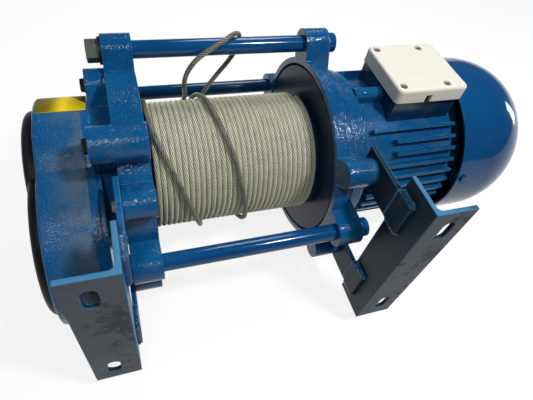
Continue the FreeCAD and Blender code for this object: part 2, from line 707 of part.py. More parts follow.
def terminal_box():
    low = math.sqrt(FRAME_R ** 2 - BOX_HALF ** 2) - BOX_SADDLE
    box = block(BOX, (-BOX_HALF, BOX_HALF), (low, BOX_TOP))
    inner = (BOX[0] + BOX_WALL, BOX[1] - BOX_WALL)
    box = box.cut(block(inner, (-BOX_HALF + BOX_WALL, BOX_HALF - BOX_WALL), (BOX_FLOOR, BOX_TOP + PAST)))
    for x in LID_SCREW_X:
        for y in (LID_SCREW_Y, -LID_SCREW_Y):
            box = box.fuse(Part.makeCylinder(BOX_POST_R, BOX_TOP - BOX_FLOOR, V(x, y, BOX_FLOOR)))
            bottom = BOX_TOP - LID_SCREW_IN - PAST
            box = box.cut(Part.makeCylinder(LID_SCREW_R + FIT, BOX_TOP, V(x, y, bottom)))
    return box.cut(rod_along_x(FRAME_R + FIT, BOX[0] - PAST, BOX[1] + PAST))


def lid_outline(low, high):
    outline = block(LID, (-LID_HALF, LID_HALF), (low, high))
    upright = [e for e in outline.Edges if e.BoundBox.ZLength > (high - low) / 2]
    return outline.makeFillet(LID_CORNER_R, upright)


def terminal_lid():
    low = BOX_TOP + LID_SKIRT
    lid = lid_outline(low, LID_TOP)
    top = [e for e in lid.Edges if e.BoundBox.ZMin > LID_TOP - PAST]
    lid = lid.makeFillet(LID_EDGE, top)
    inner = (LID[0] + LID_WALL, LID[1] - LID_WALL)
    inner_half = LID_HALF - LID_WALL
    ceiling = LID_TOP - LID_WALL - LID_POCKET_DEPTH
    cavity = block(inner, (-inner_half, inner_half), (low - PAST, ceiling))
    for x in LID_SCREW_X:
        for y in (LID_SCREW_Y, -LID_SCREW_Y):
            cavity = cavity.cut(Part.makeCylinder(LID_POST_R, LID_TOP, V(x, y, 0)))
            lid = lid.cut(Part.makeCylinder(LID_POCKET_R, LID_TOP, V(x, y, LID_TOP - LID_POCKET_DEPTH)))
            lid = lid.cut(Part.makeCylinder(LID_SCREW_R + FIT, LID_TOP, V(x, y, 0)))
    lid = lid.cut(cavity)
    notch_span = (NOTCH_X - NOTCH_W / 2, NOTCH_X + NOTCH_W / 2)
    notch = block(notch_span, (-LID_HALF - PAST, PAST - inner_half), (low - PAST, low + NOTCH_H))
    return lid.cut(notch)


def lid_gasket():
    ring = lid_outline(BOX_TOP, BOX_TOP + LID_SKIRT)
    inner = (BOX[0] + BOX_WALL, BOX[1] - BOX_WALL)
    inner_half = BOX_HALF - BOX_WALL
    ring = ring.cut(block(inner, (-inner_half, inner_half), (BOX_TOP - PAST, BOX_TOP + LID_SKIRT + PAST)))
    for x in LID_SCREW_X:
        for y in (LID_SCREW_Y, -LID_SCREW_Y):
            ring = ring.cut(Part.makeCylinder(LID_SCREW_R + FIT, BOX_TOP, V(x, y, BOX_TOP - PAST)))
    return ring


def lid_screws():
    screws = []
    seat = LID_TOP - LID_POCKET_DEPTH
    for x in LID_SCREW_X:
        for y in (LID_SCREW_Y, -LID_SCREW_Y):
            head = Part.makeCylinder(LID_HEAD_R, LID_HEAD, V(x, y, seat))
            slot_y = (y - DRIVER_SLOT_W / 2, y + DRIVER_SLOT_W / 2)
            slot_z = (seat + LID_HEAD - DRIVER_SLOT_DEPTH, seat + LID_HEAD + PAST)
            head = head.cut(block((x - LID_POCKET_R, x + LID_POCKET_R), slot_y, slot_z))
            tip = BOX_TOP - LID_SCREW_IN
            screws.append(head.fuse(Part.makeCylinder(LID_SCREW_R, seat - tip, V(x, y, tip))))
    return group(screws)


def terminal_block():
    middle = (BOX[0] + BOX[1]) / 2
    half_x, half_y = BLOCK_HALF
    base = block((middle - half_x, middle + half_x), (-half_y, half_y), (BOX_FLOOR, BOX_FLOOR + BLOCK_H))
    for column in (-1, 0, 1):
        for row in (-0.5, 0.5):
            foot = V(middle + column * STUD_PITCH[0], row * STUD_PITCH[1], BOX_FLOOR)
            base = base.fuse(Part.makeCylinder(STUD_R, STUD_H, foot))
    return base


def tail_points():
    reach = BARREL_R + FIT + ROPE_D * 1.5 + TAIL_LIFT
    corner_r = reach / math.cos(math.radians(TAIL_STEP / 2))
    points = []
    for k, x in enumerate(TAIL_WRAP_X):
        y, z = polar(corner_r, TAIL_FIRST_ANGLE + TAIL_STEP * k)
        points.append(V(x, y, z))
    return points + [V(*place) for place in TAIL_BIGHT]


def cord_path(points):
    # straight runs joined by tangent arcs, each as large as its two runs allow
    edges = []
    radii = []
    here = points[0]
    for before, corner, after in zip(points, points[1:], points[2:]):
        back = (before - corner).normalize()
        ahead = (after - corner).normalize()
        half_turn = (math.pi - back.getAngle(ahead)) / 2
        shorter = min((before - corner).Length, (after - corner).Length)
        trim = TAIL_ARC_SHARE * shorter
        radius = trim / math.tan(half_turn)
        inward = (back + ahead).normalize()
        middle = corner + inward * (radius / math.cos(half_turn) - radius)
        edges.append(Part.LineSegment(here, corner + back * trim).toShape())
        edges.append(Part.Arc(corner + back * trim, middle, corner + ahead * trim).toShape())
        here = corner + ahead * trim
        radii.append(round(radius, 1))
    edges.append(Part.LineSegment(here, points[-1]).toShape())
    print("rope tail radii", radii)
    return Part.Wire(edges)


def rope_tail():
    points = tail_points()
    path = cord_path(points)
    ring = Part.Wire(Part.makeCircle(ROPE_D / 2, points[0], points[1] - points[0]))
    tube = path.makePipeShell([ring], True, False)
    plain = math.pi * (ROPE_D / 2) ** 2 * path.Length
    print("rope tail length", round(path.Length, 1), "volume ratio", round(tube.Volume / plain, 4))
    return tube


def rope_sleeve():
    points = tail_points()
    axis = (points[-1] - points[-2]).normalize()
    return Part.makeCylinder(SLEEVE_R, SLEEVE_L, points[-1], axis)


save("left_end_plate", left_plate())
save("right_end_plate", right_plate())
for place, degrees in ROD_ANGLES.items():
    save(f"tie_rod_{place}", tie_rod(degrees))
save("rod_washers", group([rod_washer(degrees) for degrees in ROD_ANGLES.values()]))
save("rod_nuts", group([rod_nut(degrees) for degrees in ROD_ANGLES.values()]))
for name, turn in (("right", lambda shape: shape), ("left", mirrored)):
    save(f"{name}_foot_angle", turn(foot_angle()))
    save(f"{name}_foot_strap_upper", turn(foot_strap(1)))
    save(f"{name}_foot_strap_lower", turn(foot_strap(-1)))
    save(f"{name}_foot_welds", turn(foot_welds()))
save("strap_bolts", group(strap_bolts(1) + strap_bolts(-1)))

save("rope_drum", drum())
save("rope_winding", rope_winding())
save("left_drum_bearing", tube_along_x(HUB_R + FIT, DRUM_BEARING_R, LEFT_PLATE[0],
                                       LEFT_PLATE[0] + PLATE_WALL))
save("right_drum_bearing", tube_along_x(HUB_R + FIT, DRUM_BEARING_R, RIGHT_PLATE[1] - PLATE_WALL,
                                        RIGHT_PLATE[1]))
save("rope_clamp_bolts", rope_clamp_bolts())
save("rope_tail", rope_tail())
save("rope_end_sleeve", rope_sleeve())

save("gearbox_base", gearbox_base())
save("case_gasket", case_gasket())
save("gearbox_case", gearbox_case())
save("cap_gasket", cap_gasket())
save("gearbox_cap", gearbox_cap())
save("cap_screws", cap_screws())
save("gearbox_bolts", gearbox_bolts())
save("drum_oil_seal", tube_along_x(HUB_R + FIT, SEAL_R, *SEAL))
save("drum_gear", gear(SLOW_GEAR_TEETH, SLOW_MODULE, GEAR_ADDENDUM, GEAR_DEDENDUM, SLOW_GEAR, HUB_R + FIT,
                       0.0, 0.0, LAY_ANGLE))
save("layshaft_pinion", gear(SLOW_PINION_TEETH, SLOW_MODULE, PINION_ADDENDUM, PINION_DEDENDUM, SLOW_PINION,
                             LAY_SHAFT_R + FIT, lay_y, lay_z, facing_gap(SLOW_PINION_TEETH)))
save("layshaft_gear", gear(FAST_GEAR_TEETH, FAST_MODULE, GEAR_ADDENDUM, GEAR_DEDENDUM, FAST_GEAR,
                           LAY_SHAFT_R + FIT, lay_y, lay_z, facing_gap(FAST_GEAR_TEETH)))
save("layshaft", rod_along_x(LAY_SHAFT_R, LAY_SHAFT[0], LAY_SHAFT[1], lay_y, lay_z))
save("layshaft_bearings", group([layshaft_bearing(CASE_LEFT + CASE_END_WALL - LAY_BEARING_W),
                                 layshaft_bearing(BACK_PLATE[0])]))
save("shaft_end_bearing", tube_along_x(SHAFT_TIP_R + FIT, END_BEARING_R,
                                       CASE_LEFT + CASE_END_WALL - END_BEARING_W, CASE_LEFT + CASE_END_WALL))
save("motor_pinion", gear(FAST_PINION_TEETH, FAST_MODULE, PINION_ADDENDUM, PINION_DEDENDUM, FAST_PINION,
                          PINION_SHAFT_R + FIT, 0.0, 0.0, LAY_ANGLE))

save("motor_shaft", motor_shaft())
save("rotor_core", tube_along_x(ROTOR_SHAFT_R + FIT, ROTOR_R, *STATOR))
save("stator_core", tube_along_x(AIR_GAP_R, STATOR_R, *STATOR))
save("stator_windings", group([tube_along_x(*COIL_END_R, STATOR[0] - COIL_END_L, STATOR[0]),
                               tube_along_x(*COIL_END_R, STATOR[1], STATOR[1] + COIL_END_L)]))
save("motor_front_shield", motor_front_shield())
save("motor_frame", motor_frame())
save("motor_rear_shield", motor_rear_shield())
save("motor_bearings", group([motor_bearing(SHIELD[0] + SHIELD_WALL), motor_bearing(REAR_SHIELD[0])]))
save("brake_coil", tube_along_x(BRAKE_BORE_R, BRAKE_R, *BRAKE_COIL))
save("brake_plate", tube_along_x(BRAKE_BORE_R, BRAKE_R, *BRAKE_PLATE))
save("brake_disc", tube_along_x(SHAFT_R + FIT, BRAKE_DISC_R, *BRAKE_DISC))
save("cooling_fan", cooling_fan())
save("fan_cover", fan_cover())
save("cover_screws", cover_screws())
save("terminal_box", terminal_box())
save("terminal_block", terminal_block())
save("lid_gasket", lid_gasket())
save("terminal_lid", terminal_lid())
save("lid_screws", lid_screws())
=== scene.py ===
import json
import math
import random

import bmesh
import bpy
from mathutils import Matrix, Vector, kdtree


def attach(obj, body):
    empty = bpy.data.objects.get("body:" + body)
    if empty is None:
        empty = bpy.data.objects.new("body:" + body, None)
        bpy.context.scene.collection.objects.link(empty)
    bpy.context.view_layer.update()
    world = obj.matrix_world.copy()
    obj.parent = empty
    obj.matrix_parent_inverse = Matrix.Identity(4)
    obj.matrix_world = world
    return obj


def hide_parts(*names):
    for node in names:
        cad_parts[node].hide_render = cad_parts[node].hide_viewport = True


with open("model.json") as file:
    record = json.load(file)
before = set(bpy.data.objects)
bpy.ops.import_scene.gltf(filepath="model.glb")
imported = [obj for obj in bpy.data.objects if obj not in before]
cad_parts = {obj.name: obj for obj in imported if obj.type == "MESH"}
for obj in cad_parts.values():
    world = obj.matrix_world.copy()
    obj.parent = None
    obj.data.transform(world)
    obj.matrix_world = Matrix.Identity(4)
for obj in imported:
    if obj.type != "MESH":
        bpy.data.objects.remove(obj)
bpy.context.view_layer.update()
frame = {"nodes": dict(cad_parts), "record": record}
nodes = frame["nodes"]
axisY = 0.212  # drum axis above the foot plane
alongX = Matrix.Rotation(math.radians(90), 4, "Y")  # turns a shape's own Z to the drum axis
mergeGap = 1e-7
print("frame loaded:", len(nodes), "nodes")


# shader maths: a wire is one socket, and sums on wires add their own nodes
class Wire:
    def __init__(self, finish, socket):
        self.finish = finish
        self.socket = socket

    def sum(self, operation, *values):
        return self.finish.add("ShaderNodeMath", {"operation": operation}, dict(enumerate(values)))

    def __add__(self, other):
        return self.sum("ADD", self, other)

    __radd__ = __add__

    def __sub__(self, other):
        return self.sum("SUBTRACT", self, other)

    def __rsub__(self, other):
        return self.sum("SUBTRACT", other, self)

    def __mul__(self, other):
        return self.sum("MULTIPLY", self, other)

    __rmul__ = __mul__

    def above(self, low, high):  # 0 under low, 1 over high, smooth between
        settings = {"interpolation_type": "SMOOTHSTEP"}
        return self.finish.add("ShaderNodeMapRange", settings,
                               {"Value": self, "From Min": low, "From Max": high})

    def largest(self, other):
        return self.sum("MAXIMUM", self, other)

    def size(self):
        return self.sum("ABSOLUTE", self)


class Finish:
    def __init__(self, name):
        self.material = bpy.data.materials.new(name)
        self.material.use_nodes = True
        self.tree = self.material.node_tree
        self.shader = self.tree.nodes["Principled BSDF"]
        self.place = self.add("ShaderNodeTexCoord", out="Object")

    def plug(self, socket, value):
        if isinstance(value, Wire):
            self.tree.links.new(value.socket, socket)
        elif isinstance(value, (tuple, list)) and len(value) == 3 and len(socket.default_value) == 4:
            socket.default_value = (*value, 1.0)
        else:
            socket.default_value = value

    def add(self, kind, settings=None, sockets=None, out=0):
        node = self.tree.nodes.new(kind)
        for key, value in (settings or {}).items():
            setattr(node, key, value)
        for key, value in (sockets or {}).items():
            self.plug(node.inputs[key], value)
        return Wire(self, node.outputs[out])

    def put(self, **sockets):  # BaseColor= sets Base Color, and so on
        for key, value in sockets.items():
            name = "".join(" " + c if c.isupper() else c for c in key).strip()
            self.plug(self.shader.inputs[name], value)
        return self.material

    def gloss(self, level):
        self.shader.inputs["Specular IOR Level"].default_value = level

    def noise(self, scale, detail=2.0, rough=0.5):
        return self.add("ShaderNodeTexNoise", {}, {"Vector": self.place, "Scale": scale,
                                                   "Detail": detail, "Roughness": rough})

    def axes(self):
        split = self.add("ShaderNodeSeparateXYZ", {}, {"Vector": self.place})
        return [Wire(self, split.socket.node.outputs[k]) for k in range(3)]

    def blend(self, share, first, second):
        return self.add("ShaderNodeMix", {"data_type": "RGBA"}, {0: share, 6: first, 7: second}, out=2)

    def rounded(self, radius, samples=4):
        return self.add("ShaderNodeBevel", {"samples": samples}, {"Radius": radius})

    def worn(self, edge, span=(0.02, 0.16)):  # 1 on edges and corners, 0 on faces
        flat = self.add("ShaderNodeNewGeometry", out="Normal")
        same = self.add("ShaderNodeVectorMath", {"operation": "DOT_PRODUCT"}, {0: edge, 1: flat}, out="Value")
        return (1.0 - same).above(*span)

    def bump(self, height, distance, normal, strength=1.0):
        return self.add("ShaderNodeBump", {}, {"Height": height, "Distance": distance, "Strength": strength,
                                               "Normal": normal})


# in the finishes a noise is scale, detail and roughness, and a span runs from no mark to full

# enamel: orange peel, drifting tone, dust in places, rubbed edges, painted glints as pale specks on the peel
castBlue = {"deep": (0.0016, 0.070, 0.205), "light": (0.0026, 0.112, 0.315), "rubbed": (0.035, 0.24, 0.50),
            "dust": (0.150, 0.175, 0.120), "dustShare": 0.25, "dustFrom": (0.50, 0.80),
            "dustAcross": (-9.0, -8.0), "peel": 420.0, "peelDepth": 0.00060, "roughness": 0.07,
            "specular": 0.30, "edge": 0.0016, "paintedGlint": (0.040, 0.22, 0.42), "paintedGlintShare": 0.20}
gearBlue = dict(castBlue, dustShare=0.55, dustFrom=(0.34, 0.60), dustAcross=(-0.215, -0.166), peel=620.0,
                peelDepth=0.00070, paintedGlintShare=0.42)
smoothBlue = dict(castBlue, deep=(0.0012, 0.060, 0.190), light=(0.0018, 0.074, 0.230), peel=90.0,
                  peelDepth=0.00008, roughness=0.10, dustShare=0.05, paintedGlintShare=0.0)
navyPaint = dict(castBlue, deep=(0.0025, 0.015, 0.038), light=(0.005, 0.029, 0.064),
                 rubbed=(0.010, 0.060, 0.140), dust=(0.05, 0.055, 0.05), dustShare=0.1, peel=260.0,
                 peelDepth=0.0002, roughness=0.28, paintedGlintShare=0.0, specular=0.12)
slatePaint = dict(navyPaint, deep=(0.010, 0.013, 0.017), light=(0.020, 0.024, 0.030),
                  rubbed=(0.045, 0.050, 0.055), roughness=0.42)
boxBlue = dict(castBlue, deep=(0.004, 0.026, 0.080), light=(0.008, 0.044, 0.120), dustShare=0.35,
               peelDepth=0.0002, paintedGlintShare=0.0)
beadBlue = dict(castBlue, peel=240.0, peelDepth=0.0020, roughness=0.10, specular=0.6, paintedGlintShare=0.5)
enamelMarks = {"tone": (11.0, 4.0), "toneSpan": (0.30, 0.72), "dust": (26.0, 6.0, 0.65), "dustDulls": 0.35,
               "rub": (70.0, 4.0, 0.7), "rubSpan": (0.40, 0.62), "peelDetail": (2.0, 0.45),
               "paintedGlintSpan": (0.52, 0.70)}


def enamel(name, look):
    finish = Finish(name)
    marks = enamelMarks
    edge = finish.rounded(look["edge"])
    tone = finish.noise(*marks["tone"]).above(*marks["toneSpan"])
    colour = finish.blend(tone, look["deep"], look["light"])
    film = finish.noise(*marks["dust"]).above(*look["dustFrom"]) * look["dustShare"]
    film = film * finish.axes()[0].above(*look["dustAcross"])
    colour = finish.blend(film, colour, look["dust"])
    rub = finish.worn(edge) * finish.noise(*marks["rub"]).above(*marks["rubSpan"])
    colour = finish.blend(rub, colour, look["rubbed"])
    peel = finish.noise(look["peel"], *marks["peelDetail"])
    # painted highlight: pale specks on the peel stand in for glints
    paintedGlint = peel.above(*marks["paintedGlintSpan"]) * look["paintedGlintShare"]
    colour = finish.blend(paintedGlint, colour, look["paintedGlint"])
    finish.gloss(look["specular"])
    return finish.put(BaseColor=colour, Roughness=look["roughness"] + film * marks["dustDulls"],
                      Normal=finish.bump(peel, look["peelDepth"], edge))


# thin slate paint on the angle irons: bare mauve grey patches, dark blotches, scraped blue cuts and edges
# a painted reflection of the blue drum and plates colours the left foot's drum side bright blue
footLook = {"paint": (0.009, 0.031, 0.053), "bare": (0.114, 0.128, 0.154), "blotch": (0.012, 0.016, 0.024),
            "scraped": (0.060, 0.23, 0.42), "inner": (0.006, 0.12, 0.34), "specular": 0.14, "edge": 0.0028,
            "roughness": 0.34, "bareDulls": 0.22, "grainDepth": 0.0004}
footPlaces = {"outerY": (0.00036, 0.0012), "innerX": (-0.1447, -0.1441), "otherFootX": (-0.1, 0.1),
              "rimY": (0.0496, 0.0499), "rimEndY": (0.052, 0.053), "endZ": (0.1196, 0.1199)}
footMarks = {"patch": (24.0, 5.0, 0.6), "patchSpan": (0.40, 0.58), "leastBare": 0.45,
             "cloud": (17.0, 2.0), "cloudShare": 0.5, "spot": (95.0, 8.0, 0.7), "spotShare": 0.6,
             "blotchSpan": (0.585, 0.62), "blotchShare": 0.9,
             "speck": (460.0, 3.0, 0.7), "speckSpan": (0.60, 0.70), "speckShare": 0.6,
             "fleck": (150.0, 3.0, 0.7), "fleckSpan": (0.54, 0.62), "fleckShare": 0.8,
             "scrape": (38.0, 3.0), "scrapeSpan": (0.22, 0.42), "grain": (520.0, 3.0, 0.6)}


def footPaint(name, look):
    finish = Finish(name)
    marks = footMarks
    edge = finish.rounded(look["edge"])
    along, height, across = finish.axes()
    outerFace = 1.0 - height.above(*footPlaces["outerY"])
    patch = finish.noise(*marks["patch"]).above(*marks["patchSpan"])
    bare = outerFace * (marks["leastBare"] + patch * (1.0 - marks["leastBare"]))
    colour = finish.blend(bare, look["paint"], look["bare"])
    cloud = finish.noise(*marks["cloud"]) * marks["cloudShare"]
    cluster = cloud + finish.noise(*marks["spot"]) * marks["spotShare"]
    blotch = cluster.above(*marks["blotchSpan"]) * outerFace
    speck = finish.noise(*marks["speck"]).above(*marks["speckSpan"]) * outerFace
    dark = blotch.largest(speck * marks["speckShare"]) * marks["blotchShare"]
    colour = finish.blend(dark, colour, look["blotch"])
    # painted reflection: bright blue on the drum side of the left foot, broken by flecks
    drumReflectionSide = along.above(*footPlaces["innerX"]) * (1.0 - along.above(*footPlaces["otherFootX"]))
    fleck = finish.noise(*marks["fleck"]).above(*marks["fleckSpan"])
    colour = finish.blend(drumReflectionSide * (1.0 - fleck * marks["fleckShare"]), colour, look["inner"])
    rim = height.above(*footPlaces["rimY"]) * (1.0 - height.above(*footPlaces["rimEndY"]))
    cutFace = across.size().above(*footPlaces["endZ"]).largest(rim)
    scrape = finish.noise(*marks["scrape"]).above(*marks["scrapeSpan"])
    colour = finish.blend(finish.worn(edge).largest(cutFace) * scrape, colour, look["scraped"])
    grain = finish.noise(*marks["grain"])
    finish.gloss(look["specular"])
    return finish.put(BaseColor=colour, Roughness=look["roughness"] + bare * look["bareDulls"],
                      Normal=finish.bump(grain, look["grainDepth"], edge))


# metals: stains over the clean colour, fine grain
zincLook = {"clean": (0.50, 0.54, 0.46), "stain": (0.24, 0.24, 0.18), "share": 0.8, "metal": 0.75,
            "roughness": 0.34, "grain": 900.0}
oliveLook = dict(zincLook, clean=(0.15, 0.18, 0.145), stain=(0.035, 0.045, 0.038), metal=0.6)
blackLook = dict(zincLook, clean=(0.020, 0.023, 0.025), stain=(0.060, 0.052, 0.040), metal=0.5,
                 roughness=0.42)
groundLook = dict(zincLook, clean=(0.55, 0.55, 0.56), stain=(0.32, 0.30, 0.27), metal=1.0, roughness=0.24,
                  grain=1200.0)
gearLook = dict(zincLook, clean=(0.40, 0.40, 0.41), stain=(0.16, 0.13, 0.08), metal=1.0, roughness=0.32)
coreLook = dict(zincLook, clean=(0.22, 0.22, 0.23), stain=(0.12, 0.09, 0.07), metal=0.7, roughness=0.55,
                grain=1400.0)
copperLook = dict(zincLook, clean=(0.55, 0.24, 0.09), stain=(0.30, 0.11, 0.04), metal=0.8, grain=1500.0)
brassLook = dict(zincLook, clean=(0.32, 0.25, 0.14), stain=(0.08, 0.06, 0.035), metal=0.8)
# painted shade: a dark colour between the strands of the rope
ropeLook = dict(zincLook, clean=(0.80, 0.79, 0.61), stain=(0.36, 0.34, 0.24), share=0.35, metal=0.05,
                roughness=0.28, grain=1800.0, strandShade=(0.085, 0.080, 0.058), valley=(0.78, 0.93))
# the free end is a darker copy of the rope
darkerRope = dict(ropeLook, clean=(0.30, 0.295, 0.24), stain=(0.10, 0.095, 0.08), strandShade=(0.02, 0.02, 0.018),
                 share=0.8)
metalMarks = {"edge": 0.0006, "stain": (85.0, 5.0, 0.62), "stainSpan": (0.46, 0.74), "stainDulls": 0.2,
              "grainDetail": (3.0, 0.6), "grainDulls": 0.1, "grainDepth": 0.00015}


def metal(name, look):
    finish = Finish(name)
    marks = metalMarks
    edge = finish.rounded(marks["edge"])
    stain = finish.noise(*marks["stain"]).above(*marks["stainSpan"])
    colour = finish.blend(stain * look["share"], look["clean"], look["stain"])
    if "valley" in look:  # painted shade between the strands of a rope
        depth = finish.add("ShaderNodeAttribute", {"attribute_name": "depth"}, out="Fac")
        colour = finish.blend(depth.above(*look["valley"]), look["strandShade"], colour)
    grain = finish.noise(look["grain"], *marks["grainDetail"])
    rough = look["roughness"] + stain * marks["stainDulls"] + grain * marks["grainDulls"]
    return finish.put(BaseColor=colour, Metallic=look["metal"], Roughness=rough,
                      Normal=finish.bump(grain, marks["grainDepth"], edge))


# moulded goods: lid, fan, gaskets, seal and label film
creamLook = {"clean": (0.86, 0.84, 0.745), "stain": (0.78, 0.72, 0.58), "roughness": 0.42, "grain": 900.0}
blackPlastic = {"clean": (0.020, 0.020, 0.022), "stain": (0.05, 0.05, 0.05), "roughness": 0.5,
                "grain": 700.0}
rubberLook = {"clean": (0.016, 0.016, 0.016), "stain": (0.05, 0.047, 0.043), "roughness": 0.68,
              "grain": 500.0}
yellowLook = {"clean": (0.97, 0.74, 0.010), "stain": (0.88, 0.62, 0.012), "roughness": 0.55, "grain": 300.0}
mouldedMarks = {"edge": 0.0010, "stain": (42.0, 5.0, 0.6), "stainSpan": (0.48, 0.80), "stainShare": 0.6,
                "stainDulls": 0.12, "grainDetail": (2.0, 0.5), "grainDepth": 0.0001, "grainStrength": 0.6,
                "specular": 0.3}


def moulded(name, look):
    finish = Finish(name)
    marks = mouldedMarks
    edge = finish.rounded(marks["edge"])
    stain = finish.noise(*marks["stain"]).above(*marks["stainSpan"])
    colour = finish.blend(stain * marks["stainShare"], look["clean"], look["stain"])
    grain = finish.noise(look["grain"], *marks["grainDetail"])
    finish.gloss(marks["specular"])
    return finish.put(BaseColor=colour, Roughness=look["roughness"] + stain * marks["stainDulls"],
                      Normal=finish.bump(grain, marks["grainDepth"], edge, marks["grainStrength"]))


finishes = {
    "castBlue": enamel("cast_blue_enamel", castBlue), "gearBlue": enamel("gearbox_blue_enamel", gearBlue),
    "smoothBlue": enamel("smooth_blue_enamel", smoothBlue), "slate": enamel("slate_enamel", slatePaint),
    "navy": enamel("navy_enamel", navyPaint), "boxBlue": enamel("box_blue_enamel", boxBlue),
    "bead": enamel("weld_bead_enamel", beadBlue), "foot": footPaint("worn_foot_paint", footLook),
    "zinc": metal("zinc_plate", zincLook), "olive": metal("olive_chromate", oliveLook),
    "brass": metal("tarnished_brass", brassLook), "black": metal("blackened_steel", blackLook),
    "ground": metal("ground_steel", groundLook), "gear": metal("oiled_gear_steel", gearLook),
    "core": metal("core_steel", coreLook), "copper": metal("varnished_copper", copperLook),
    "rope": metal("galvanised_wire", ropeLook), "darkerRope": metal("darker_wire", darkerRope),
    "cream": moulded("cream_plastic", creamLook),
    "blackPlastic": moulded("black_plastic", blackPlastic), "rubber": moulded("black_rubber", rubberLook),
    "yellow": moulded("yellow_label_film", yellowLook)}
slotFinish = {"blue_cast_paint": "castBlue", "blue_smooth_paint": "smoothBlue", "dark_paint": "slate",
              "drum_paint": "navy", "foot_paint": "foot", "wire_rope": "rope", "zinc_hardware": "zinc",
              "dark_hardware": "black", "machined_steel": "ground", "gear_steel": "gear",
              "black_rubber": "rubber", "cream_plastic": "cream", "black_plastic": "blackPlastic",
              "core_steel": "core", "copper_winding": "copper"}
nodeFinish = {"gearbox_case": "gearBlue", "case_gasket": "gearBlue", "terminal_box": "boxBlue",
              "motor_rear_shield": "navy", "lid_screws": "brass", "rope_end_sleeve": "olive"}
for part in frame["record"]["subparts"]:
    name = part["node"]
    mesh = nodes[name].data
    mesh.materials.clear()
    mesh.materials.append(finishes[nodeFinish.get(name, slotFinish[part["material_slot"]])])
print("finishes set:", len(finishes))


def piece(name, bm, finish, body="frame", replaced=(), smooth=True):
    bmesh.ops.remove_doubles(bm, verts=bm.verts, dist=mergeGap)
    bmesh.ops.recalc_face_normals(bm, faces=bm.faces)
    mesh = bpy.data.meshes.new(name)
    bm.to_mesh(mesh)
    bm.free()
    if smooth:
        mesh.shade_smooth()
    settle(name, mesh, finish, body, replaced)


def settle(name, mesh, finish, body, replaced):
    mesh.materials.clear()
    mesh.materials.append(finishes[finish])
    made = bpy.data.objects.new(name, mesh)
    bpy.context.scene.collection.objects.link(made)
    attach(made, body)
    if replaced:
        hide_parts(*replaced)
    return made


def edgesAmong(verts):
    joined = (edge for vert in verts for edge in vert.link_edges if edge.other_vert(vert) in verts)
    return list(dict.fromkeys(joined))


def newVerts(grown):
    return [item for item in grown["geom"] if isinstance(item, bmesh.types.BMVert)]


def polar(radius, degrees):
    turn = math.radians(degrees)
    return radius * math.cos(turn), radius * math.sin(turn)


def aboutDrum(x, radius, degrees):
    y, z = polar(radius, degrees)
    return Vector((x, axisY + y, z))


def curveThrough(name, kind, lines):
    curve = bpy.data.curves.new(name, "CURVE")
    curve.dimensions = "3D"
    for line in lines:
        spline = curve.splines.new(kind)
        spline.points.add(len(line) - 1)
        for point, place in zip(spline.points, line):
            point.co = (*place, 1.0)
    return curve


def curveMesh(curve):
    holder = bpy.data.objects.new(curve.name, curve)
    mesh = bpy.data.meshes.new_from_object(holder)
    bpy.data.objects.remove(holder)
    return mesh


# wire rope: strands laid round a centre line, as tubes of one curve made a mesh
wireRope = {"diameter": 0.0062, "strands": 6, "lay": 0.026, "strandShare": 0.30, "resolution": 1}
ropeRadius = wireRope["diameter"] / 2


def strandMesh(name, path):
    curve = curveThrough(name, "POLY", strandLines(path))
    curve.bevel_depth = ropeRadius * wireRope["strandShare"]
    curve.bevel_resolution = wireRope["resolution"]
    curve.use_fill_caps = True
    mesh = curveMesh(curve)
    mesh.shade_smooth()
    mesh.name = name
    markDepth(mesh, path)
    return mesh


def markDepth(mesh, path):  # 1 on the rope's outside, less between its strands
    tree = kdtree.KDTree(len(path))
    for k, place in enumerate(path):
        tree.insert(place, k)
    tree.balance()
    depth = mesh.attributes.new("depth", "FLOAT", "POINT")
    for vertex in mesh.vertices:
        depth.data[vertex.index].value = tree.find(vertex.co)[2] / ropeRadius


def strandLines(path):
    ring = ropeRadius * (1 - wireRope["strandShare"])
    lines = [[] for k in range(wireRope["strands"])]
    side = (path[1] - path[0]).normalized().orthogonal().normalized()
    travelled = 0.0
    for k, place in enumerate(path):
        after = path[min(k + 1, len(path) - 1)]
        before = path[max(k - 1, 0)]
        ahead = (after - before).normalized()
        side = (side - ahead * side.dot(ahead)).normalized()
        other = ahead.cross(side)
        for strand, line in enumerate(lines):
            turn = 2 * math.pi * (travelled / wireRope["lay"] + strand / wireRope["strands"])
            line.append(place + (side * math.cos(turn) + other * math.sin(turn)) * ring)
        travelled += (after - place).length
    return lines


# the winding is three pieces, which meet end to end
winding = {"firstX": -0.1025, "pitch": 0.00635, "radius": 0.07600, "startAngle": 70.0, "steps": 220,
           "turns": {"drum_rope_left": 10.5, "drum_rope_middle": 10.0, "drum_rope_right": 10.5}}


def windRope():
    done = 0.0
    for name, turns in winding["turns"].items():
        path = []
        for k in range(int(turns * winding["steps"]) + 1):
            turn = done + k / winding["steps"]
            x = winding["firstX"] + winding["pitch"] * turn
            path.append(aboutDrum(x, winding["radius"], winding["startAngle"] - 360.0 * turn))
        settle(name, strandMesh(name, path), "rope", "drum", ["rope_winding"])
        done += turns


windRope()
print("rope wound on the drum")

